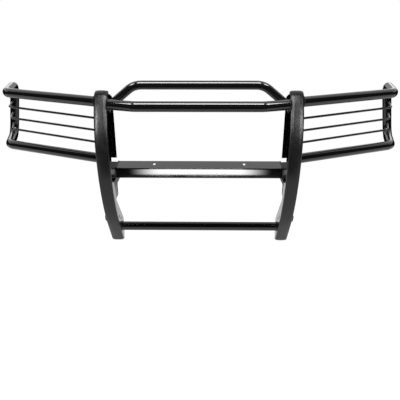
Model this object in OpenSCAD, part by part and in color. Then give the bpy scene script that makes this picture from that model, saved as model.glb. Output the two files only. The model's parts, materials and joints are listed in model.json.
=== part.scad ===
// Front grille guard for a pickup: welded tube-and-plate frame with rubber-faced uprights, wrap-around
// wings and a pair of bolt-on frame brackets. Front faces -Y, up is +Z, the truck is on the +Y side.
// Origin: middle of the width and of the depth, at the lowest point of the uprights.

/* [Uprights] */
// Distance from the middle plane to the inner face of an upright
inner_half = 393; // [360:1:420]
// Width of an upright across its rubber face
upright_w = 59; // [52:1:64]
// Thickness of the rubber strip
rubber_t = 11; // [8:0.5:13]
// Thickness of the steel band that carries the rubber
band_t = 4; // [3:0.5:5]
// Thickness of the two web plates of an upright
web_t = 5; // [4:0.5:6]
// Depth of an upright below the wings, from the rubber face
narrow_depth = 50; // [44:1:54]
// Height at which the curved face stands furthest forward
belly_z = 540; // [535:1:545]
// Radius of the face above the belly
upper_face_r = 460; // [455:1:470]
// Radius of the face below the belly
lower_face_r = 780; // [770:1:790]

/* [Tubes] */
// Outside diameter of the wing, crossbar and lower hoop tubes
tube_od = 44.5; // [42:0.1:46]
// Outside diameter of the upper hoop tube
upper_od = 38.1; // [36:0.1:42]
// Wall thickness of the tubes
wall = 2; // [1.5:0.25:3]
// Diameter of the solid wing bars
bar_d = 10.5; // [8:0.5:10.5]

/* [Wings] */
// Height of the upper wing tube
wing_top_z = 750; // [748:1:754]
// Height of the lower wing tube
wing_low_z = 492; // [486:1:493]
// Sweep of the wing tubes towards the rear
wing_sweep = 23.6; // [22:0.1:25]
// Heights of the three wing bars
bar_zs = [677, 622, 567];

/* [Cross plate] */
// Height of the top flange
plate_top_z = 431; // [428:1:434]
// Height of the front face
plate_h = 50; // [45:1:52]
// Depth of the top flange
flange_d = 108; // [100:1:112]
// Thickness of the folded sheet
sheet_t = 3; // [2:0.5:5]
// Width of the two lamp slots
lamp_slot_w = 11; // [9:0.5:14]
// Length of the two lamp slots, front to back
lamp_slot_len = 32; // [24:1:40]
// Distance between the two lamp slots
lamp_pitch = 431; // [400:1:460]

/* [Brackets] */
// Thickness of the bracket plates
bracket_t = 6; // [5:0.5:8]
// Width of the bracket slots
slot_w = 13; // [13:0.5:15]
// Length of the bracket slots
slot_len = 24; // [20:1:26]

/* [Hidden] */
$fn = 96;

// Depths are measured rearwards from the front-most line of the rubber, then shifted by mid_depth.
total_depth = 528;
rear_tube_y = total_depth - tube_od / 2;
outer_half = inner_half + upright_w;
steel_t = rubber_t + band_t;

// Face line of an upright: curl, upper arc, lower arc, straight toe and curl, all tangent
crown_r = 40;
crown_z = 755;
toe_r = 45;
toe_top_z = 120;
upper_angle = asin((crown_z - belly_z) / (upper_face_r - crown_r));
lower_angle = asin((belly_z - toe_top_z) / lower_face_r);
crown_y = upper_face_r - (upper_face_r - crown_r) * cos(upper_angle);
toe_top_y = lower_face_r * (1 - cos(lower_angle));
toe_len = (toe_top_z - toe_r * (1 - sin(lower_angle))) / cos(lower_angle);
toe_y = toe_top_y + toe_len * sin(lower_angle) + toe_r * cos(lower_angle);

// Wing corners: [half width, depth] in plan, upper and lower
wing_root_y = 80;
wing_corner_x = [917, 946];
wing_rear_x = [962, 1003];
wing_bend_r = 60;
bar_sweep = 25.9;
bar_corner_x = 927;
bar_bend_r = 40;

// Hoops between the uprights
upper_hoop_y = 96;
upper_hoop_z = 818;
upper_hoop_half = 281;
upper_leg_angle = 39;
lower_hoop_y = 10;
lower_hoop_z = 743;
lower_hoop_half = 275;
lower_leg_angle = 20.3;
hoop_bend_r = 90;
mid_depth = (total_depth + lower_hoop_y - tube_od / 2) / 2;
crossbar_y = 178.5;
crossbar_z = 98.5;

// Cross plate section
plate_y = 115;
plate_bend_r = 6;
lip_d = 24;
lamp_slot_y = 179;

// Bracket-to-upright bolts: [depth, height, slot angle]
joint_y = 147;
joint_z = 162;
tip_angle = 54.6;
joint_bolts = [[-19, 13.5, tip_angle], [19, -13.5, tip_angle], [40.5, 70.5, 0]];
truck_slots = [[200.5, 20, 0], [279.5, 30.5, 90]];
fold_r = 8;
fold_w = 30;
fold_y = [64, 257];

// Crowned section of the rubber: depth of its straight sides and fullness of its crown
strip_side = 1.25;
fullness = 0.62;

// Seating of one stretch of a shape in the next
slim = 0.05;
lap = 1;
nudge = 0.1;
wedge_lap = 2;
glue_t = 0.25;

// M12 fasteners
bolt_d = 12;
bolt_len = 30;
bolt_clear_d = 13.5;
head_d = 30;
head_h = 6;
neck_w = 12;
neck_h = 5;
washer_od = 31;
washer_id = 13;
washer_t = 2.5;
nut_af = 18;
nut_h = 10.8;
thread_gap = 0.1;
bolt_x = -outer_half - bracket_t;

function unit(v) = v / norm(v);

// ---- placing helpers ----

module placed() {
    translate([0, -mid_depth, 0]) children();
}

// The left-hand piece, or its mirror image
module on_side(right) {
    placed() mirror([right ? 1 : 0, 0, 0]) children();
}

// Axes x_dir, y_dir and their cross product at point p
module with_axes(p, x_dir, y_dir) {
    z_dir = cross(x_dir, y_dir);
    multmatrix([
        [x_dir.x, y_dir.x, z_dir.x, p.x],
        [x_dir.y, y_dir.y, z_dir.y, p.y],
        [x_dir.z, y_dir.z, z_dir.z, p.z],
        [0, 0, 0, 1]
    ]) children();
}

// A 2D outline drawn as [depth, height], made into a plate from x, t thick
module plate(x, t) {
    translate([x, 0, 0]) rotate([90, 0, 90]) linear_extrude(t) children();
}

module ring(od, id) {
    difference() {
        circle(d = od);
        circle(d = id);
    }
}

// Slot outline, w wide and len from end to end
module slot(w, len, angle) {
    reach = (len - w) / 2;
    rotate(angle) {
        square([2 * reach, w], center = true);
        for (x = [-reach, reach]) translate([x, 0]) circle(d = w);
    }
}

// ---- tube along a path ----

// Length that a bend takes from each leg at point i
function bend_cut(p, i, r) =
    let (u = unit(p[i] - p[i - 1]), v = unit(p[i + 1] - p[i])) r * tan(acos(u * v) / 2);

// Straight legs and round bends through the points. A bend is slightly slimmer, as a drawn bend is,
// and the legs run on into it by the lap.
module bent_bar(p, d, r) {
    last = len(p) - 1;
    for (i = [0 : last - 1]) {
        u = unit(p[i + 1] - p[i]);
        side = unit(cross(u, abs(u.z) < 0.9 ? [0, 0, 1] : [0, 1, 0]));
        start = p[i] + u * (i == 0 ? 0 : bend_cut(p, i, r) - lap);
        end = p[i + 1] - u * (i == last - 1 ? 0 : bend_cut(p, i + 1, r) - lap);
        with_axes(start, side, cross(u, side)) cylinder(d = d, h = norm(end - start));
    }
    for (i = [1 : last - 1]) {
        u = unit(p[i] - p[i - 1]);
        v = unit(p[i + 1] - p[i]);
        inward = unit(v - u * (u * v));
        centre = p[i] - u * bend_cut(p, i, r) + inward * r;
        with_axes(centre, -inward, u)
            rotate_extrude(angle = acos(u * v)) translate([r, 0]) circle(d = d - 2 * slim);
    }
}

module bent_tube(p, od, r) {
    difference() {
        bent_bar(p, od, r);
        bent_bar(p, od - 2 * wall, r);
    }
}

// ---- upright face line ----

// Pie slice that reaches past radius r
module wedge(r, from, to) {
    reach = 1.1 * r;
    polygon([[0, 0], reach * [cos(from), sin(from)], reach * [cos(to), sin(to)]]);
}

// Everything behind the face line, set back by t, drawn as [depth, height]. Where two stretches meet,
// one stands proud by the nudge, so that their outlines cross instead of just touching.
module behind_face(t) {
    translate([upper_face_r, belly_z]) intersection() {
        circle(r = upper_face_r - t, $fn = 360);
        wedge(upper_face_r, 180 - upper_angle, 180);
    }
    translate([lower_face_r, belly_z]) intersection() {
        circle(r = lower_face_r - t, $fn = 360);
        wedge(lower_face_r, 180, 180 + lower_angle + wedge_lap);
    }
    translate([toe_top_y, toe_top_z]) rotate(lower_angle)
        translate([t + nudge, -toe_len - 2]) square([90 - t, toe_len + 2]);
    if (t < crown_r) {
        translate([crown_y - nudge * cos(upper_angle), crown_z + nudge * sin(upper_angle)])
            circle(r = crown_r - t);
        translate([toe_y, toe_r]) circle(r = toe_r - t);
    }
}

// The layer of an upright between two set-backs, from the top of the crown to the bottom of the toe
module face_layer(from, to) {
    intersection() {
        difference() {
            behind_face(from);
            behind_face(to);
        }
        polygon([
            [-50, 900], [crown_y, 900], [crown_y, 600], [toe_y, 300], [toe_y, -50], [-50, -50]
        ]);
    }
}

// ---- upright pieces, left side ----

// Stations along the face line, each [centre depth, centre height, radius, facing angle]
function face_stations() = concat(
    [for (i = [0 : 8]) [crown_y, crown_z, crown_r, 90 + (upper_angle - 90) * i / 8]],
    [for (i = [1 : 16]) [upper_face_r, belly_z, upper_face_r, upper_angle * (1 - i / 16)]],
    [for (i = [1 : 18]) [lower_face_r, belly_z, lower_face_r, -lower_angle * i / 18]],
    [for (i = [0 : 8]) [toe_y, toe_r, toe_r, -lower_angle - (90 - lower_angle) * i / 8]]
);

// Rubber strip, a crowned section swept down the face line; its flat back is glued on.
// Section points are [set-back, half width].
module rub_strip(right) {
    back = rubber_t - glue_t;
    shoulder = back - strip_side;
    middle = inner_half + upright_w / 2;
    section = concat(
        [[back, inner_half], [back, outer_half]],
        [for (a = [0 : 20 : 180]) [
            shoulder * (1 - pow(max(sin(a), 0), fullness)),
            middle + upright_w / 2 * sign(cos(a)) * pow(abs(cos(a)), fullness)
        ]]
    );
    stations = face_stations();
    n = len(section);
    last = len(stations) - 1;
    points = [for (s = stations) for (q = section)
        [-q[1], s[0] - (s[2] - q[0]) * cos(s[3]), s[1] + (s[2] - q[0]) * sin(s[3])]];
    sides = [for (i = [0 : last - 1]) for (j = [0 : n - 1]) let (k = (j + 1) % n) each [
        [i * n + j, i * n + k, (i + 1) * n + k],
        [i * n + j, (i + 1) * n + k, (i + 1) * n + j]
    ]];
    caps = [[for (j = [n - 1 : -1 : 0]) j], [for (j = [0 : n - 1]) last * n + j]];
    color("dimgray") on_side(right) polyhedron(points, concat(sides, caps));
}

module front_band(right) {
    color("black") on_side(right) plate(-outer_half, upright_w) face_layer(rubber_t, steel_t);
}

// Deep part of a web behind the wings
module wing_area() {
    polygon([
        [32, 510], [178, 462], [178, 742], [165, 757], [115, 776],
        [crown_y - 0.01, crown_z + crown_r - steel_t - 2], [80, 740], [63, 700], [36, 600]
    ]);
}

// Foot of a web, round the crossbar end
module foot_area() {
    polygon([
        [92, 235], [104, 270], [235, 122], [238, 112], [238, 62], [230, 48], [234, 36],
        [toe_y - 1, toe_r - 29], [196, 42], [150, 110]
    ]);
}

// A web is the narrow layer behind the band plus the wider areas given as children
module web(x) {
    plate(x, web_t) face_layer(steel_t, narrow_depth);
    for (i = [0 : $children - 1]) plate(x, web_t) children(i);
}

module bolt_holes() {
    for (b = joint_bolts)
        translate([joint_y + b[0], joint_z + b[1]]) circle(d = bolt_clear_d);
}

module inner_web(right) {
    color("black") on_side(right) difference() {
        web(-inner_half - web_t) {
            wing_area();
            foot_area();
            polygon([[30, 493], [209, 431], [227, 431], [227, 376], [50, 376]]);
        }
        plate(-inner_half - web_t - 1, web_t + 2)
            for (b = [joint_bolts[0], joint_bolts[1]])
                translate([joint_y + b[0], joint_z + b[1]]) circle(d = bolt_clear_d);
    }
}

module outer_web(right) {
    color("black") on_side(right) difference() {
        web(-outer_half) {
            wing_area();
            foot_area();
            polygon([[60, 345], [165, 282], [208, 258], [212, 215], [200, 150], [110, 210]]);
        }
        plate(-outer_half - 1, web_t + 2) bolt_holes();
    }
}

// ---- tubes between the uprights ----

// Keeps only what lies between the inner faces of the uprights
module between_uprights() {
    intersection() {
        children();
        translate([-inner_half, -total_depth, 0]) cube([2 * inner_half, 3 * total_depth, 1000]);
    }
}

// Mirrors a list of left-hand points into a full path
function both_sides(p) = concat(p, [for (i = [len(p) - 1 : -1 : 0]) [-p[i].x, p[i].y, p[i].z]]);

module upper_hoop() {
    reach = inner_half + 30 - upper_hoop_half;
    color("black") placed() between_uprights() bent_tube(both_sides([
        [-upper_hoop_half - reach, upper_hoop_y, upper_hoop_z - reach * tan(upper_leg_angle)],
        [-upper_hoop_half, upper_hoop_y, upper_hoop_z]
    ]), upper_od, hoop_bend_r);
}

module lower_hoop() {
    reach = inner_half + 30 - lower_hoop_half;
    color("black") placed() between_uprights() bent_tube(both_sides([
        [-lower_hoop_half - reach, lower_hoop_y + reach * tan(lower_leg_angle), lower_hoop_z],
        [-lower_hoop_half, lower_hoop_y, lower_hoop_z]
    ]), tube_od, hoop_bend_r);
}

module lower_crossbar() {
    color("black") placed() translate([-inner_half, crossbar_y, crossbar_z]) rotate([0, 90, 0])
        linear_extrude(2 * inner_half) ring(tube_od, tube_od - 2 * wall);
}

// One rounded fold of the sheet, opening towards +x and dir * y
module fold(dir) {
    intersection() {
        ring(2 * plate_bend_r, 2 * (plate_bend_r - sheet_t));
        translate([-plate_bend_r, dir > 0 ? -plate_bend_r : 0]) square(plate_bend_r);
    }
}

module cross_plate() {
    low = plate_top_z - plate_h;
    color("black") placed() difference() {
        plate(-inner_half, 2 * inner_half) {
            translate([plate_y + plate_bend_r, plate_top_z - sheet_t])
                square([flange_d - plate_bend_r, sheet_t]);
            translate([plate_y, low + plate_bend_r]) square([sheet_t, plate_h - 2 * plate_bend_r]);
            translate([plate_y + plate_bend_r, low]) square([lip_d - plate_bend_r, sheet_t]);
            translate([plate_y + plate_bend_r, plate_top_z - plate_bend_r]) fold(-1);
            translate([plate_y + plate_bend_r, low + plate_bend_r]) fold(1);
        }
        for (x = [-lamp_pitch / 2, lamp_pitch / 2])
            translate([x, lamp_slot_y, plate_top_z - sheet_t - 1])
                linear_extrude(sheet_t + 2) slot(lamp_slot_w, lamp_slot_len, 90);
    }
}

// ---- wings, left side ----

// Cuts away everything inboard of the outer face of the upright
module outboard() {
    difference() {
        children();
        translate([-outer_half, -total_depth, 0]) cube([2 * outer_half, 3 * total_depth, 1000]);
    }
}

// Point on the swept front line of a wing
function swept(x, sweep, z) = [-x, wing_root_y + (x - outer_half) * tan(sweep), z];

module wing_hoop(right) {
    color("black") on_side(right) outboard() bent_tube([
        swept(outer_half - 30, wing_sweep, wing_top_z),
        swept(wing_corner_x[0], wing_sweep, wing_top_z),
        [-wing_rear_x[0], rear_tube_y, wing_top_z],
        [-wing_rear_x[1], rear_tube_y, wing_low_z],
        swept(wing_corner_x[1], wing_sweep, wing_low_z),
        swept(outer_half - 30, wing_sweep, wing_low_z)
    ], tube_od, wing_bend_r);
}

// Places a child along the leaning rear tube, from its lower corner up
module rear_tube_axis() {
    low = [-wing_rear_x[1], rear_tube_y, wing_low_z];
    lean = unit([wing_rear_x[1] - wing_rear_x[0], 0, wing_top_z - wing_low_z]);
    with_axes(low, cross([0, 1, 0], lean), [0, 1, 0]) children();
}

module wing_bar(right, i) {
    z = bar_zs[i];
    share = (wing_top_z - z) / (wing_top_z - wing_low_z);
    rear_x = wing_rear_x[0] + (wing_rear_x[1] - wing_rear_x[0]) * share;
    color("black") on_side(right) outboard() difference() {
        bent_bar([
            swept(outer_half - 20, bar_sweep, z),
            swept(bar_corner_x, bar_sweep, z),
            [-rear_x, rear_tube_y, z]
        ], bar_d, bar_bend_r);
        rear_tube_axis() cylinder(d = tube_od, h = wing_top_z - wing_low_z);
    }
}

// ---- brackets and their bolts, left side ----

// Side view of a bracket; [0, 0] is midway between the two slots at the tip of its arm
module bracket_outline() {
    difference() {
        union() {
            polygon([
                [-43, 14], [-21, 45], [5, 76], [37, 101], [48, 101], [fold_y[0] - 6, 107], [265, 107],
                [297, 90], [292, 1], [184, 0], [184, 22], [197, 51], [150, 51], [108, 45], [71, 19],
                [29, -31], [14, -38], [-40, 2]
            ]);
            translate([280, 90]) circle(r = 17);
            translate([195, 27]) circle(r = 11);
            translate([fold_y[0], 100]) square([fold_y[1] - fold_y[0], 15 - fold_r + 6]);
        }
        for (s = concat(joint_bolts, truck_slots)) translate([s[0], s[1]]) slot(slot_w, slot_len, s[2]);
    }
}

// Top flange of a bracket with its round fold, folded towards the middle of the truck
module bracket_flange() {
    top = 121;
    translate([-outer_half - bracket_t + fold_r, joint_y + fold_y[0], joint_z + top - fold_r])
        rotate([-90, 0, 0]) linear_extrude(fold_y[1] - fold_y[0]) {
            intersection() {
                ring(2 * fold_r, 2 * (fold_r - bracket_t));
                translate([-fold_r, -fold_r]) square(fold_r);
            }
            translate([0, -fold_r]) square([fold_w - fold_r, bracket_t]);
        }
}

module bracket(right) {
    color("black") on_side(right) {
        translate([0, joint_y, joint_z]) plate(bolt_x, bracket_t) bracket_outline();
        bracket_flange();
    }
}

// Puts a fastener at each joint bolt, its axis along +X from x
module at_bolts(x) {
    for (b = joint_bolts)
        translate([x, joint_y + b[0], joint_z + b[1]]) rotate([b[2], 0, 0]) rotate([0, 90, 0]) children();
}

module carriage_bolts(right) {
    dome_r = (head_d * head_d / 4 + head_h * head_h) / (2 * head_h);
    color("black") on_side(right) at_bolts(bolt_x) {
        intersection() {
            translate([0, 0, dome_r - head_h]) sphere(r = dome_r);
            translate([0, 0, -head_h]) cylinder(d = head_d, h = head_h);
        }
        translate([-neck_w / 2, -neck_w / 2, 0]) cube([neck_w, neck_w, neck_h]);
        cylinder(d = bolt_d - 2 * thread_gap, h = bolt_len);
    }
}

module washers(right) {
    color("tan") on_side(right) at_bolts(-outer_half + web_t)
        linear_extrude(washer_t) ring(washer_od, washer_id);
}

module nuts(right) {
    color("black") on_side(right) at_bolts(-outer_half + web_t + washer_t) difference() {
        cylinder(d = nut_af / cos(30), h = nut_h, $fn = 6);
        translate([0, 0, -1]) cylinder(d = bolt_d, h = nut_h + 2);
    }
}

rub_strip(false);  // left_rub_strip
rub_strip(true);  // right_rub_strip
front_band(false);  // left_front_band
front_band(true);  // right_front_band
inner_web(false);  // left_inner_web
inner_web(true);  // right_inner_web
outer_web(false);  // left_outer_web
outer_web(true);  // right_outer_web
upper_hoop();
lower_hoop();
cross_plate();
lower_crossbar();
wing_hoop(false);  // left_wing_hoop
wing_bar(false, 0);  // left_wing_bar_1
wing_bar(false, 1);  // left_wing_bar_2
wing_bar(false, 2);  // left_wing_bar_3
wing_hoop(true);  // right_wing_hoop
wing_bar(true, 0);  // right_wing_bar_1
wing_bar(true, 1);  // right_wing_bar_2
wing_bar(true, 2);  // right_wing_bar_3
bracket(false);  // left_bracket
carriage_bolts(false);  // left_carriage_bolts
washers(false);  // left_washers
nuts(false);  // left_nuts
bracket(true);  // right_bracket
carriage_bolts(true);  // right_carriage_bolts
washers(true);  // right_washers
nuts(true);  // right_nuts
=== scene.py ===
"""Front grille guard: smooth tubes, rubber strips, weld beads, fasteners, finishes and a plain
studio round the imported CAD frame. Objects are in metres, with +Z up. The guard's front faces -Y,
and the truck is on the +Y side."""

import json
import math

import bmesh
import bpy
from mathutils import Matrix, Vector


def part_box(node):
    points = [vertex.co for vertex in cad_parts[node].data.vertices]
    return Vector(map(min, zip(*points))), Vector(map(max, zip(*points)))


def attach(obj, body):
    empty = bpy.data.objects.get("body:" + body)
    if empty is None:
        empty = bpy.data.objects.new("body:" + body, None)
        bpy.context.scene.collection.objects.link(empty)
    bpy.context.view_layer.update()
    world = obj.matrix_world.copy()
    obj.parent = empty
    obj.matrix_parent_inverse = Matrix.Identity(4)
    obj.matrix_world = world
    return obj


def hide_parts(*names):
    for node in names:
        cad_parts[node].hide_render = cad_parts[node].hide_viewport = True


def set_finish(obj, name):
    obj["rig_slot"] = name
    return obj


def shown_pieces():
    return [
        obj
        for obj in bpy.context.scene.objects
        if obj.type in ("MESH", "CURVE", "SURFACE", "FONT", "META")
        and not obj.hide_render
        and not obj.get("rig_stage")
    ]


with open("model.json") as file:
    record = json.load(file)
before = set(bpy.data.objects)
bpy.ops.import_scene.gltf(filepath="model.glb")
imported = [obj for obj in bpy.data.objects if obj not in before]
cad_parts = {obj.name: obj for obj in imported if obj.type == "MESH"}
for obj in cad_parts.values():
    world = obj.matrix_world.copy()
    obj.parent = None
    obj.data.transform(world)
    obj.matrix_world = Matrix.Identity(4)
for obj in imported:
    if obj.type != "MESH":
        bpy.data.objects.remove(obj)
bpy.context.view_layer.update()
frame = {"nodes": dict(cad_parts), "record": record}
SIDES = {"left": -1, "right": 1}

# ---- sizes: a plain number is in millimetres, and a number times MM is in metres ----

MM = 0.001
TUBE_R = 22.25 * MM
UPPER_TUBE_R = 19.05 * MM
BAR_R = 5.25 * MM
RUBBER_T, BAND_T, WEB_T, BRACKET_T = 11, 4, 5, 6

# The inner and outer faces of an upright, as distances from the middle of the guard
INNER_X = -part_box("left_inner_web")[1].x
OUTER_X = -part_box("left_outer_web")[0].x
INNER_MM = INNER_X / MM
OUTER_MM = OUTER_X / MM

# Depths are counted from the front line of the rubber, and the wings reach this far behind it
WING_DEPTH = 528
FRONT_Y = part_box("left_wing_hoop")[1].y - WING_DEPTH * MM


def at(x, depth, z):
    """A point from millimetres: distance across, depth behind the rubber's front line, height."""
    return Vector((x * MM, FRONT_Y + depth * MM, z * MM))


# ---- mesh helpers ----

TUBE_SIDES = 48
BAR_SIDES = 24
BEND_STEP_DEG = 3.0

# A weld bead swells and narrows once every RIPPLE_GAP, by this share of its radius
RIPPLE_GAP = 3.2 * MM
RIPPLE_DEPTH = 0.14
STATIONS_PER_RIPPLE = 4


def new_piece(name, bm, slot, sharp_deg=35):
    """Turns a bmesh into a smooth-shaded piece that rides on the frame."""
    bmesh.ops.recalc_face_normals(bm, faces=bm.faces)
    for face in bm.faces:
        face.smooth = True
    for edge in bm.edges:
        if len(edge.link_faces) == 2 and edge.calc_face_angle(0) > math.radians(sharp_deg):
            edge.smooth = False
    mesh = bpy.data.meshes.new(name)
    bm.to_mesh(mesh)
    bm.free()
    piece = bpy.data.objects.new(name, mesh)
    bpy.context.scene.collection.objects.link(piece)
    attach(piece, "root")
    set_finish(piece, slot)
    return piece


def turn_angles(count):
    """Evenly spaced angles, round a full turn."""
    return [2 * math.pi * k / count for k in range(count)]


def skin(bm, rings, capped=True):
    """Faces between each ring of points and the next, and a face over each end if capped."""
    for low, high in zip(rings, rings[1:]):
        for k in range(len(low)):
            j = (k + 1) % len(low)
            bm.faces.new((low[k], low[j], high[j], high[k]))
    if capped:
        bm.faces.new(rings[0][::-1])
        bm.faces.new(rings[-1])


def bent_path(corners, radius):
    """(point, direction) pairs along straight legs joined by round bends."""
    path = [(corners[0], (corners[1] - corners[0]).normalized())]
    for before, corner, after in zip(corners, corners[1:], corners[2:]):
        u = (corner - before).normalized()
        v = (after - corner).normalized()
        turn = u.angle(v)
        cut = radius * math.tan(turn / 2)
        inward = (v - u * u.dot(v)).normalized()
        centre = corner - u * cut + inward * radius
        steps = max(2, math.ceil(math.degrees(turn) / BEND_STEP_DEG))
        for i in range(steps + 1):
            a = turn * i / steps
            path.append((
                centre - inward * radius * math.cos(a) + u * radius * math.sin(a),
                u * math.cos(a) + inward * math.sin(a),
            ))
    path.append((corners[-1], (corners[-1] - corners[-2]).normalized()))
    return path


def ring_axes(path):
    """Side vectors that follow the path without twisting."""
    side = path[0][1].orthogonal().normalized()
    for _, ahead in path:
        side = (side - ahead * side.dot(ahead)).normalized()
        yield side, ahead.cross(side)


def sweep(bm, path, radius, around, end_x):
    """A closed round bar along the path. An end with an end_x is cut flush with that X plane."""
    planes = {0: end_x[0], len(path) - 1: end_x[1]}
    rings = []
    for i, ((point, ahead), (side, up)) in enumerate(zip(path, ring_axes(path))):
        plane = planes.get(i)
        ring = []
        for a in turn_angles(around):
            co = point + (side * math.cos(a) + up * math.sin(a)) * radius
            if plane is not None:
                co += ahead * ((plane - co.x) / ahead.x)
            ring.append(bm.verts.new(co))
        rings.append(ring)
    skin(bm, rings)


def rippled(size, phase):
    """A bead's radius at a phase of its ripples."""
    return size * (1 - RIPPLE_DEPTH + RIPPLE_DEPTH * math.cos(phase))


def weld_ring(bm, centre, tube_dir, normal, radius, size):
    """A rippled bead where a round bar that runs along tube_dir meets a plate with that normal."""
    least_stations, around, parallel = 28, 10, 1e-3
    u = tube_dir.cross(normal)
    u = u.normalized() if u.length > parallel else normal.orthogonal().normalized()
    v = normal.cross(u).normalized()
    stretch = 1 / abs(tube_dir.dot(normal))
    length = 2 * math.pi * radius * stretch
    count = max(least_stations, round(length / RIPPLE_GAP) * STATIONS_PER_RIPPLE)
    ripples = count // STATIONS_PER_RIPPLE
    rings = []
    for a in turn_angles(count):
        seat = centre + (u * math.cos(a) + v * math.sin(a) * stretch) * radius
        flat = (u * math.cos(a) * stretch + v * math.sin(a)).normalized()
        bead = rippled(size, ripples * a)
        rings.append([
            bm.verts.new(seat + flat * bead * math.cos(b) + normal * bead * math.sin(b))
            for b in turn_angles(around)
        ])
    skin(bm, rings + rings[:1], capped=False)


def weld_seam(bm, points, size):
    """A rippled bead along a line of points, with rounded ends."""
    end_size, growth, around = 0.25, 0.25, 8
    stations = []
    for a, b in zip(points, points[1:]):
        steps = max(2, round((b - a).length / RIPPLE_GAP * STATIONS_PER_RIPPLE))
        ahead = (b - a).normalized()
        stations += [(a.lerp(b, i / steps), ahead) for i in range(steps)]
    stations.append((points[-1], (points[-1] - points[-2]).normalized()))
    rings = []
    last = len(stations) - 1
    for i, ((point, _), (side, up)) in enumerate(zip(stations, ring_axes(stations))):
        fade = min(1.0, end_size + min(i, last - i) * growth)
        bead = rippled(size * fade, 2 * math.pi * i / STATIONS_PER_RIPPLE)
        rings.append([
            bm.verts.new(point + (side * math.cos(b) + up * math.sin(b)) * bead)
            for b in turn_angles(around)
        ])
    skin(bm, rings)


# ---- tubes ----

HOOP_BEND_R, WING_BEND_R, BAR_BEND_R = 90 * MM, 60 * MM, 40 * MM

# Of each tube between the uprights: half width up to its bends, depth, height. The crossbar is
# straight, so its half width only says where its path has points.
UPPER_HALF, UPPER_DEPTH, UPPER_Z = 281, 96, 818
LOWER_HALF, LOWER_DEPTH, LOWER_Z = 275, 10, 743
CROSSBAR_HALF, CROSSBAR_DEPTH, CROSSBAR_Z = 200, 178.5, 98.5
UPPER_LEG_SLOPE = math.tan(math.radians(39))
LOWER_END_SLOPE = math.tan(math.radians(20.3))

# Of the wings: heights of the hoop's two runs, and half widths of their front and rear corners
WING_Z = {"top": 750, "low": 492}
WING_CORNER = {"top": 917, "low": 946}
WING_REAR = {"top": 962, "low": 1003}
WING_SLOPE = math.tan(math.radians(23.6))
REAR_DEPTH = WING_DEPTH - TUBE_R / MM
ROOT_DEPTH = 80
BAR_Z = (677, 622, 567)
BAR_CORNER = 927
BAR_SLOPE = math.tan(math.radians(25.9))
# A bar's rear end runs this far into the rear tube
BAR_BITE = 1.5 * MM

# Of the beads: radius, and how far their middle line stands off the plate
TUBE_BEAD, TUBE_BEAD_LIFT = 3.4 * MM, 0.6 * MM
BAR_BEAD, BAR_BEAD_LIFT, BAR_END_LIFT = 2.2 * MM, 0.4 * MM, 0.3 * MM


def swept(x, slope, z, s):
    """Point of a wing's swept front line at half width x."""
    return at(s * x, ROOT_DEPTH + (x - OUTER_MM) * slope, z)


def tube_piece(name, corners, bend_r, radius, end_x, around=TUBE_SIDES):
    """A bent tube that stands for the CAD node of the same name without its _tube."""
    bm = bmesh.new()
    sweep(bm, bent_path(corners, bend_r), radius, around, end_x)
    piece = new_piece(name, bm, "gloss_coat")
    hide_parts(name.replace("_tube", ""))


def hoop(name, half, depth, z, end_depth, end_z, radius, welds):
    """A tube from inner web to inner web, with a bead round each end."""
    corners = [at(x, d, h) for x, d, h in (
        (-INNER_MM, end_depth, end_z),
        (-half, depth, z),
        (half, depth, z),
        (INNER_MM, end_depth, end_z),
    )]
    tube_piece(name, corners, HOOP_BEND_R, radius, (-INNER_X, INNER_X))
    for end, inner, normal in (
        (corners[0], corners[1], Vector((1, 0, 0))),
        (corners[3], corners[2], Vector((-1, 0, 0))),
    ):
        tube_dir = (inner - end).normalized()
        weld_ring(welds, end + normal * TUBE_BEAD_LIFT, tube_dir, normal, radius, TUBE_BEAD)


def build_wing(side, s, welds):
    """A wing's hoop and its three bars, with beads at the upright and at the rear tube."""
    outward = Vector((s, 0, 0))
    front = {
        k: [swept(OUTER_MM, WING_SLOPE, z, s), swept(WING_CORNER[k], WING_SLOPE, z, s)]
        for k, z in WING_Z.items()
    }
    rear = {k: at(s * WING_REAR[k], REAR_DEPTH, z) for k, z in WING_Z.items()}
    corners = front["top"] + [rear["top"], rear["low"]] + front["low"][::-1]
    ends = (s * OUTER_X, s * OUTER_X)
    tube_piece(f"{side}_wing_hoop_tube", corners, WING_BEND_R, TUBE_R, ends)
    for root, corner in front.values():
        tube_dir = (corner - root).normalized()
        weld_ring(welds, root + outward * TUBE_BEAD_LIFT, tube_dir, outward, TUBE_R, TUBE_BEAD)

    lean = (rear["top"] - rear["low"]).normalized()
    for i, z in enumerate(BAR_Z, 1):
        share = (WING_Z["top"] - z) / (WING_Z["top"] - WING_Z["low"])
        axis_point = rear["top"].lerp(rear["low"], share)
        corner = swept(BAR_CORNER, BAR_SLOPE, z, s)
        root = swept(OUTER_MM, BAR_SLOPE, z, s)
        inward = (corner - axis_point).normalized()
        face = (inward - lean * inward.dot(lean)).normalized()
        end = axis_point + inward * (TUBE_R - BAR_BITE) / inward.dot(face)
        tube_piece(f"{side}_wing_bar_{i}_tube", [root, corner, end], BAR_BEND_R, BAR_R,
                   (s * OUTER_X, None), BAR_SIDES)
        tube_dir = (corner - root).normalized()
        weld_ring(welds, root + outward * BAR_BEAD_LIFT, tube_dir, outward, BAR_R, BAR_BEAD)
        seat = axis_point + inward * (TUBE_R + BAR_END_LIFT) / inward.dot(face)
        weld_ring(welds, seat, inward, face, BAR_R, BAR_BEAD)


# ---- rubber strips ----

# The face of an upright is four arcs and a straight run, from its top end down to its toe
BELLY_Z = 540
CROWN_Z, CROWN_R = 755, 40
UPPER_R = 460
LOWER_R = 780
TOE_TOP_Z = 120
TOE_Z, TOE_R = 45, 45
CROWN_STEPS, UPPER_STEPS, LOWER_STEPS, TOE_STEPS = 18, 40, 48, 18

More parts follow.
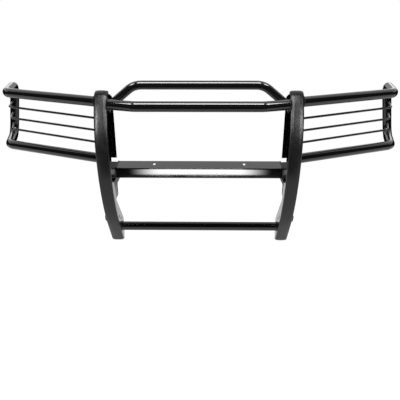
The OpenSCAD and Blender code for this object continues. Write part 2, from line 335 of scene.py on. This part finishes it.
# The rubber's section: a squared half round on a straight edge, with two shallow grooves
EDGE_T = 1
SECTION_STEPS = 56
SECTION_POWER = 0.62
GROOVE_AT, GROOVE_DEPTH, GROOVE_W = 0.62, 0.5, 1.3
BACK_INSET, SIDE_INSET = 0.25, 0.6


def face_line():
    """Stations down the face of an upright: (centre depth, centre height, radius, angle)."""
    upper = math.asin((CROWN_Z - BELLY_Z) / (UPPER_R - CROWN_R))
    lower = math.asin((BELLY_Z - TOE_TOP_Z) / LOWER_R)
    crown_y = UPPER_R - (UPPER_R - CROWN_R) * math.cos(upper)
    toe_top_y = LOWER_R * (1 - math.cos(lower))
    toe_len = (TOE_TOP_Z - TOE_R * (1 - math.sin(lower))) / math.cos(lower)
    toe_y = toe_top_y + toe_len * math.sin(lower) + TOE_R * math.cos(lower)
    quarter = math.pi / 2

    def arc(y, z, r, start, end, steps):
        return [(y, z, r, start + (end - start) * i / steps) for i in range(steps + 1)]

    stations = arc(crown_y, CROWN_Z, CROWN_R, quarter, upper, CROWN_STEPS)
    stations += arc(UPPER_R, BELLY_Z, UPPER_R, upper, 0, UPPER_STEPS)[1:]
    stations += arc(LOWER_R, BELLY_Z, LOWER_R, 0, -lower, LOWER_STEPS)[1:]
    stations += arc(toe_y, TOE_Z, TOE_R, -lower, -quarter, TOE_STEPS)
    return stations


def under_face(s, x, station, depth):
    """The point at half width x that lies depth straight behind a station of the face."""
    y, z, r, a = station
    return at(s * x, y - (r - depth) * math.cos(a), z + (r - depth) * math.sin(a))


def strip_section():
    """(depth under the face, half width) round the rubber, from its flat back."""
    low, high = INNER_MM, OUTER_MM
    middle, half = (low + high) / 2, (high - low) / 2
    back = RUBBER_T - BACK_INSET
    shoulder = RUBBER_T - EDGE_T
    outline = [(back, low + SIDE_INSET), (back, high - SIDE_INSET)]
    for i in range(SECTION_STEPS + 1):
        a = math.pi * i / SECTION_STEPS
        across = math.copysign(abs(math.cos(a)) ** SECTION_POWER, math.cos(a))
        rise = math.sin(a) ** SECTION_POWER
        groove = GROOVE_DEPTH * sum(
            math.exp(-((across - c) * half / GROOVE_W) ** 2) for c in (-GROOVE_AT, GROOVE_AT))
        outline.append((shoulder - shoulder * rise + groove, middle + half * across))
    return outline


def build_strip(side, s):
    section = strip_section()
    bm = bmesh.new()
    rings = [
        [bm.verts.new(under_face(s, x, station, depth)) for depth, x in section]
        for station in face_line()
    ]
    skin(bm, rings)
    piece = new_piece(f"{side}_rubber", bm, "face_rubber", sharp_deg=40)
    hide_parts(f"{side}_rub_strip")


# ---- seams ----

# A bead's middle line stands this far off the plates that it joins
SEAM_LIFT = 0.4
PLATE_SEAM, STITCH = 2.6 * MM, 2.4 * MM
# At the cross plate's ends, one bead runs up its face between two heights, and one runs back
# along the top of its flange between two depths
FACE_SEAM_DEPTH, FACE_SEAM_Z = 115 - SEAM_LIFT, (387, 425)
FLANGE_SEAM_Z, FLANGE_SEAM_DEPTH = 431 + SEAM_LIFT, (123, 221)
# Stitches down an upright, in stations of the face line: the first one's start, how many stay
# free at the end, from one stitch's start to the next, and the points of one stitch
STITCH_FIRST, STITCH_SPARE, STITCH_EVERY, STITCH_POINTS = 22, 24, 12, 5


def build_seams(s, welds):
    """Beads at the cross plate's ends, and stitches inside an upright from band to webs."""
    x = s * (INNER_MM - SEAM_LIFT)
    weld_seam(welds, [at(x, FACE_SEAM_DEPTH, z) for z in FACE_SEAM_Z], PLATE_SEAM)
    weld_seam(welds, [at(x, depth, FLANGE_SEAM_Z) for depth in FLANGE_SEAM_DEPTH], PLATE_SEAM)
    stations = face_line()
    inset = WEB_T + SEAM_LIFT
    depth = RUBBER_T + BAND_T + SEAM_LIFT
    for x in (INNER_MM + inset, OUTER_MM - inset):
        for first in range(STITCH_FIRST, len(stations) - STITCH_SPARE, STITCH_EVERY):
            stitch = stations[first:first + STITCH_POINTS]
            weld_seam(welds, [under_face(s, x, station, depth) for station in stitch], STITCH)


# ---- bracket fasteners ----

# Where the three bolts of a side stand: the joint's depth and height, and from there each bolt's
# (depth, height) and the turn of its neck
JOINT = (147, 162)
JOINT_BOLTS = ((-19, 13.5, 54.6), (19, -13.5, 54.6), (40.5, 70.5, 0))
HEAD_R, HEAD_H = 15, 6
# NECK and NUT_FLAT are half the widths of the square neck and of the hexagon
NECK, NECK_H = 6, 5
SHANK_R, SHANK_LEN = 5.9, 30
PITCH_MM, THREAD_DEPTH = 1.75, 0.9
WASHER_R, WASHER_BORE_R, WASHER_T = 15.5, 6.5, 2.5
NUT_FLAT, NUT_BORE_R, NUT_H = 9, 6, 10.8
DOME_STEPS, STEPS_PER_PITCH = 14, 6
THREAD_SIDES, NUT_SIDES = 36, 72


def add_lathe(bm, place, profile, around=TUBE_SIDES, closed=False):
    """Columns of points set by place(radius, angle, height), round an axis. profile(angle) lists
    a column's (radius, height). It is open from axis to axis, or closed round a bore."""
    columns = [
        [bm.verts.new(place(r, a, h)) for r, h in profile(a)]
        for a in turn_angles(around)
    ]
    count = len(columns[0])
    for low, high in zip(columns, columns[1:] + columns[:1]):
        for i in range(count if closed else count - 1):
            j = (i + 1) % count
            bm.faces.new((low[i], high[i], high[j], low[j]))
    if not closed:
        bm.faces.new([column[0] for column in columns])
        bm.faces.new([column[-1] for column in columns][::-1])


def head_profile(_):
    """A domed head with a small rounded rim, from its flat underside to the top of the dome."""
    dome_r = (HEAD_R ** 2 + HEAD_H ** 2) / (2 * HEAD_H)
    inset, drop = 0.12, 0.1
    points = [
        (NECK * 0.9, 0.02),
        (HEAD_R - 0.5, 0.02),
        (HEAD_R - 0.15, -0.15),
        (HEAD_R - 0.1, -0.45),
    ]
    for i in range(1, DOME_STEPS):
        h = -HEAD_H * i / DOME_STEPS - drop
        points.append((math.sqrt(dome_r ** 2 - (dome_r - HEAD_H - h) ** 2) - inset, h))
    return points + [(1.2, -HEAD_H + 0.06)]


def neck_profile(a):
    """The square neck, with rounded corners, tapering a little into the shank."""
    widest = NECK * 1.36
    square = min(NECK / max(abs(math.cos(a)), abs(math.sin(a))), widest)
    return [(square, 0), (square, NECK_H - 0.7), (SHANK_R - 0.1, NECK_H)]


def thread_profile(a):
    """A threaded shank with a chamfered tip: the ridge climbs one pitch a turn."""
    run_in, chamfer, steepness = 2, 1.4, 2.6
    length = SHANK_LEN - NECK_H
    steps = round(length / PITCH_MM * STEPS_PER_PITCH)
    points = []
    for i in range(steps + 1):
        h = NECK_H + length * i / steps
        phase = (h / PITCH_MM - a / (2 * math.pi)) % 1
        ridge = min(1.0, steepness * min(phase, 1 - phase))
        fade = min(1.0, (h - NECK_H) / run_in)
        r = SHANK_R - THREAD_DEPTH * (1 - ridge) * fade
        points.append((min(r, SHANK_R - chamfer + (SHANK_LEN - h)), h))
    return points


def nut_profile(a):
    """A hexagon with both ends chamfered, closed round its bore."""
    corner = math.pi / 3
    hexagon = NUT_FLAT / math.cos((a % corner) - corner / 2)
    cut = max(hexagon - NUT_FLAT * 1.01, 0) * math.tan(math.radians(30)) + 0.1
    side_r, face_r, mouth_r = hexagon - 0.02, NUT_FLAT * 0.96, NUT_BORE_R + 0.7
    return [
        (NUT_BORE_R, 0.8), (mouth_r, 0.1), (face_r, 0.1), (side_r, cut),
        (side_r, NUT_H - cut), (face_r, NUT_H - 0.05), (mouth_r, NUT_H - 0.05),
        (NUT_BORE_R, NUT_H - 0.8),
    ]


def washer_profile(_):
    """A stamped washer: one edge rolled over, the other square."""
    top, rim = WASHER_T - 0.08, WASHER_R - 0.05
    return [
        (WASHER_BORE_R, 0.1), (WASHER_BORE_R, WASHER_T - 0.6), (WASHER_BORE_R + 0.5, top),
        (WASHER_R - 0.7, top), (WASHER_R - 0.2, WASHER_T - 0.3), (rim, WASHER_T - 0.8),
        (rim, 0.15), (WASHER_R - 0.2, 0.05),
    ]


def bolt_place(s, bolt, start):
    """place() for add_lathe: the axis of a bolt, from start below the bracket's outer face."""
    depth, height, turn = bolt
    t = math.radians(turn)
    across = Vector((0, math.sin(t), -math.cos(t)))
    along = Vector((0, math.cos(t), math.sin(t)))
    inward = Vector((-s, 0, 0))
    base = at(s * (OUTER_MM + BRACKET_T - start), JOINT[0] + depth, JOINT[1] + height)

    def place(r, a, h):
        outward = across * math.cos(a) + along * math.sin(a)
        return base + outward * r * MM + inward * h * MM

    return place


def build_fasteners(side, s):
    bolts, washers, nuts = bmesh.new(), bmesh.new(), bmesh.new()
    for bolt in JOINT_BOLTS:
        outside = bolt_place(s, bolt, 0)
        behind_web = bolt_place(s, bolt, BRACKET_T + WEB_T)
        behind_washer = bolt_place(s, bolt, BRACKET_T + WEB_T + WASHER_T)
        add_lathe(bolts, outside, head_profile)
        add_lathe(bolts, outside, neck_profile)
        add_lathe(bolts, outside, thread_profile, THREAD_SIDES)
        add_lathe(washers, behind_web, washer_profile, closed=True)
        add_lathe(nuts, behind_washer, nut_profile, NUT_SIDES, closed=True)
    for name, bm, node, slot in (
        ("bolts", bolts, "carriage_bolts", "black_fastener"),
        ("flat_washers", washers, "washers", "zinc_plate"),
        ("hex_nuts", nuts, "nuts", "black_fastener"),
    ):
        piece = new_piece(f"{side}_{name}", bm, slot, sharp_deg=28)
        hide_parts(f"{side}_{node}")


# ---- the pieces ----

def build_pieces():
    welds = bmesh.new()
    upper_end_z = UPPER_Z - (INNER_MM - UPPER_HALF) * UPPER_LEG_SLOPE
    lower_end_depth = LOWER_DEPTH + (INNER_MM - LOWER_HALF) * LOWER_END_SLOPE
    hoop("upper_hoop_tube", UPPER_HALF, UPPER_DEPTH, UPPER_Z, UPPER_DEPTH, upper_end_z,
         UPPER_TUBE_R, welds)
    hoop("lower_hoop_tube", LOWER_HALF, LOWER_DEPTH, LOWER_Z, lower_end_depth, LOWER_Z,
         TUBE_R, welds)
    hoop("lower_crossbar_tube", CROSSBAR_HALF, CROSSBAR_DEPTH, CROSSBAR_Z, CROSSBAR_DEPTH,
         CROSSBAR_Z, TUBE_R, welds)
    for side, s in SIDES.items():
        build_wing(side, s, welds)
        build_strip(side, s)
        build_seams(s, welds)
    new_piece("weld_beads", welds, "gloss_coat", sharp_deg=80)
    for side, s in SIDES.items():
        build_fasteners(side, s)


# ---- materials ----

def material(name, colour, roughness, metallic=0.0):
    """A Principled material and what is needed to add nodes to it."""
    mat = bpy.data.materials.new(name)
    mat.use_nodes = True
    shader = mat.node_tree.nodes["Principled BSDF"]
    shader.inputs["Base Color"].default_value = (*colour, 1)
    shader.inputs["Roughness"].default_value = roughness
    shader.inputs["Metallic"].default_value = metallic
    return mat, mat.node_tree, shader


def noise(tree, scale, detail=2.0):
    """The value of a noise fixed to the object."""
    coords = tree.nodes.new("ShaderNodeTexCoord")
    texture = tree.nodes.new("ShaderNodeTexNoise")
    texture.inputs["Scale"].default_value = scale
    texture.inputs["Detail"].default_value = detail
    tree.links.new(coords.outputs["Object"], texture.inputs["Vector"])
    return texture.outputs["Fac"]


def add_bump(tree, shader, height, distance):
    bump = tree.nodes.new("ShaderNodeBump")
    bump.inputs["Distance"].default_value = distance
    tree.links.new(height, bump.inputs["Height"])
    tree.links.new(bump.outputs["Normal"], shader.inputs["Normal"])


def vary_roughness(tree, shader, source, low, high):
    """Lets a noise set the roughness, between two values at the ends of its usual range."""
    scale = tree.nodes.new("ShaderNodeMapRange")
    scale.inputs["From Min"].default_value = 0.3
    scale.inputs["From Max"].default_value = 0.7
    scale.inputs["To Min"].default_value = low
    scale.inputs["To Max"].default_value = high
    tree.links.new(source, scale.inputs["Value"])
    tree.links.new(scale.outputs["Result"], shader.inputs["Roughness"])


def gloss_coat():
    mat, tree, shader = material("gloss_powder_coat", (0.003, 0.003, 0.0033), 0.09)
    vary_roughness(tree, shader, noise(tree, 9), 0.055, 0.09)
    add_bump(tree, shader, noise(tree, 90, 1), 0.000003)
    return mat


def face_rubber():
    mat, tree, shader = material("face_rubber", (0.0025, 0.0025, 0.0027), 0.3)
    shader.inputs["Specular IOR Level"].default_value = 0.3
    vary_roughness(tree, shader, noise(tree, 30, 6), 0.26, 0.34)
    add_bump(tree, shader, noise(tree, 700, 4), 0.0002)
    return mat


def bracket_coat():
    mat, tree, shader = material("satin_powder_coat", (0.008, 0.008, 0.009), 0.38)
    add_bump(tree, shader, noise(tree, 500, 2), 0.0001)
    return mat


def black_oxide():
    mat, tree, shader = material("black_oxide", (0.02, 0.02, 0.022), 0.35, metallic=0.7)
    vary_roughness(tree, shader, noise(tree, 120, 5), 0.28, 0.5)
    return mat


def zinc_plate():
    mat, tree, shader = material("zinc_plate", (0.55, 0.52, 0.45), 0.32, metallic=1.0)
    vary_roughness(tree, shader, noise(tree, 90, 4), 0.25, 0.42)
    add_bump(tree, shader, noise(tree, 900, 3), 0.0001)
    return mat


# CAD nodes that show as they are, by the end of their names
SOFT_EDGED = ("web", "bracket", "band", "cross_plate")
EDGE_ROUND, SAME_POINT = 0.7 * MM, 0.01 * MM


def soften_edges(node):
    """Rounds a CAD plate's edges with modifiers, so that they catch the light."""
    merge = node.modifiers.new("merge", "WELD")
    merge.merge_threshold = SAME_POINT
    bevel = node.modifiers.new("round", "BEVEL")
    bevel.width = EDGE_ROUND
    bevel.segments = 3
    bevel.limit_method = "ANGLE"
    bevel.angle_limit = math.radians(40)
    bevel.harden_normals = True


def add_finishes():
    """Gives each CAD node and each new piece the finish of its slot."""
    finishes = {
        "gloss_coat": gloss_coat(),
        "face_rubber": face_rubber(),
        "bracket_coat": bracket_coat(),
        "black_fastener": black_oxide(),
        "zinc_plate": zinc_plate(),
    }
    slots = {row["node"]: row["material_slot"] for row in frame["record"]["subparts"]}
    for name, node in frame["nodes"].items():
        node.data.materials.clear()
        node.data.materials.append(finishes[slots[name]])
        if name.endswith(SOFT_EDGED):
            soften_edges(node)
    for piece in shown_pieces():
        if "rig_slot" in piece:
            piece.data.materials.append(finishes[piece["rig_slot"]])


# ---- camera ----

CAMERA_AT = Vector((0.0307, -2.2073, 1.1654))
PITCH, YAW, ROLL = (math.radians(v) for v in (-23.441, -0.722, -0.06))
LENS = 42.09


def add_camera():
    level = math.cos(PITCH)
    ahead = Vector((math.sin(YAW) * level, math.cos(YAW) * level, math.sin(PITCH)))
    right = Vector((math.cos(YAW), -math.sin(YAW), 0))
    turn = Matrix((right, right.cross(ahead), -ahead)).transposed()
    turn = turn @ Matrix.Rotation(ROLL, 3, "Z")
    data = bpy.data.cameras.new("camera")
    data.lens = LENS
    camera = bpy.data.objects.new("camera", data)
    camera.matrix_world = Matrix.Translation(CAMERA_AT) @ turn.to_4x4()
    bpy.context.scene.collection.objects.link(camera)
    bpy.context.scene.camera = camera


# ---- studio, in metres ----

ROOM_X, ROOM_TOP = 3.4, 3.4
WALL_Y, WALL_SPLIT_Z, CARD_Y = 3.2, 1.9, 3.15
FLOOR_Z = -0.5 * MM
FLOOR_GLOW = 0.96
# Pieces that the key light doesn't reach, by the end of their names
UNLIT = ("rubber", "lower_crossbar_tube", "inner_web", "weld_beads")
HOOPS = ("upper_hoop_tube", "lower_hoop_tube")


def sheet_of(name, corners):
    mesh = bpy.data.meshes.new(name)
    mesh.from_pydata(corners, [], [range(len(corners))])
    sheet = bpy.data.objects.new(name, mesh)
    bpy.context.scene.collection.objects.link(sheet)
    sheet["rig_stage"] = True
    return sheet


def level_corners(x, y0, y1, z):
    return [(-x, y0, z), (x, y0, z), (x, y1, z), (-x, y1, z)]


def upright_corners(x0, x1, y, z0, z1):
    return [(x0, y, z0), (x1, y, z0), (x1, y, z1), (x0, y, z1)]


def glow(name, corners, radiance, fade=None):
    """A glowing sheet that only shows in reflections. It dims between the two |X| of fade."""
    sheet = sheet_of(name, corners)
    sheet.visible_camera = False
    sheet.visible_diffuse = False
    sheet.visible_shadow = False
    mat = bpy.data.materials.new(name)
    mat.use_nodes = True
    tree = mat.node_tree
    tree.nodes.remove(tree.nodes["Principled BSDF"])
    emission = tree.nodes.new("ShaderNodeEmission")
    emission.inputs["Strength"].default_value = radiance
    tree.links.new(emission.outputs["Emission"], tree.nodes["Material Output"].inputs["Surface"])
    if fade:
        coords = tree.nodes.new("ShaderNodeTexCoord")
        split = tree.nodes.new("ShaderNodeSeparateXYZ")
        size = tree.nodes.new("ShaderNodeMath")
        size.operation = "ABSOLUTE"
        dim = tree.nodes.new("ShaderNodeMapRange")
        dim.interpolation_type = "SMOOTHSTEP"
        dim.inputs["From Min"].default_value = fade[0]
        dim.inputs["From Max"].default_value = fade[1]
        dim.inputs["To Min"].default_value = radiance
        dim.inputs["To Max"].default_value = 0
        tree.links.new(coords.outputs["Object"], split.inputs["Vector"])
        tree.links.new(split.outputs["X"], size.inputs[0])
        tree.links.new(size.outputs["Value"], dim.inputs["Value"])
        tree.links.new(dim.outputs["Result"], emission.inputs["Strength"])
    sheet.data.materials.append(mat)
    return sheet


def lights_only(source, receivers):
    """Keeps a light or glowing sheet to some pieces, as a flag or small card does in a studio."""
    lit = bpy.data.collections.new(source.name + "_receivers")
    for piece in receivers:
        lit.objects.link(piece)
    source.light_linking.receiver_collection = lit


def softbox(name, place, target, width, height, radiance, receivers):
    """An area light of a given radiance, aimed at a point, that lights only the receivers."""
    data = bpy.data.lights.new(name, "AREA")
    data.shape = "RECTANGLE"
    data.size = width
    data.size_y = height
    data.energy = radiance * math.pi * width * height
    light = bpy.data.objects.new(name, data)
    light.location = place
    aim = Vector(target) - Vector(place)
    light.rotation_euler = aim.to_track_quat("-Z", "Y").to_euler()
    bpy.context.scene.collection.objects.link(light)
    lights_only(light, receivers)


def add_world():
    """Even white light on matte surfaces, which gloss doesn't reflect."""
    world = bpy.data.worlds.new("studio")
    world.use_nodes = True
    background = world.node_tree.nodes["Background"]
    background.inputs["Color"].default_value = (1, 1, 1, 1)
    background.inputs["Strength"].default_value = 1.0
    world.cycles_visibility.glossy = False
    bpy.context.scene.world = world


def add_floor():
    """A white floor, from a little in front of the guard to a little behind it."""
    floor = sheet_of("floor", level_corners(4, -1.15, 0.78, FLOOR_Z))
    mat, _, shader = material("floor", (0.15, 0.15, 0.15), 1.0)
    shader.inputs["Specular IOR Level"].default_value = 0
    shader.inputs["Emission Color"].default_value = (1, 1, 1, 1)
    shader.inputs["Emission Strength"].default_value = FLOOR_GLOW
    floor.data.materials.append(mat)


def add_room():
    """What the gloss reflects: a bright ceiling, walls and cards, and darkness in front."""
    glow("ceiling", level_corners(ROOM_X, -0.2, 5, ROOM_TOP), 1.2)
    glow("back_wall", upright_corners(-ROOM_X, ROOM_X, WALL_Y, 0.7, WALL_SPLIT_Z), 0.65)
    glow("back_wall_top", upright_corners(-ROOM_X, ROOM_X, WALL_Y, WALL_SPLIT_Z, ROOM_TOP), 1.1)
    for x in (-ROOM_X, ROOM_X):
        corners = [(x, y, z) for y, z in (
            (-0.3, 1.5), (WALL_Y, 1.5), (WALL_Y, ROOM_TOP), (-0.3, ROOM_TOP))]
        glow("side_wall", corners, 1.1)
    for x in (-2.9, 1.8):
        glow("back_card", upright_corners(x, x + 1.1, CARD_Y, 1.0, 1.7), 1.8)


def add_lights():
    """A low card for the cross plate, a long key light overhead, and lights that only the
    rubber or the two hoops catch."""
    solid = [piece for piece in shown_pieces() if piece.type == "MESH"]
    rubber = [piece for piece in solid if piece.name.endswith("rubber")]
    keyed = [piece for piece in solid if not piece.name.endswith(UNLIT)]
    hoops = [piece for piece in solid if piece.name in HOOPS]
    low = glow("front_low", upright_corners(-0.5, 0.5, -0.45, 0.286, 0.42), 26, (0.2, 0.385))
    lights_only(low, [frame["nodes"]["cross_plate"]])
    softbox("key", (0, -0.78, 2.63), (0, -0.2, 0.78), 1.7, 0.6, 30, keyed)
    for s in SIDES.values():
        softbox("side", (s * 1.25, -1.55, 1.2), (s * 0.42, -0.27, 0.68), 0.25, 0.75, 60, rubber)
    softbox("middle", (0, -1.4, 1.35), (0, -0.27, 0.72), 0.3, 0.7, 24, rubber)
    softbox("crown", (0, -1.1, 1.95), (0, -0.27, 0.76), 1.2, 0.4, 22, rubber)
    for s in SIDES.values():
        softbox("wide_key", (s * 1.35, -0.78, 2.45), (s * 0.3, -0.2, 0.8), 0.5, 0.45, 30, hoops)


build_pieces()
add_finishes()
add_camera()
add_world()
add_floor()
add_room()
add_lights()
bpy.context.scene.view_settings.view_transform = "Standard"
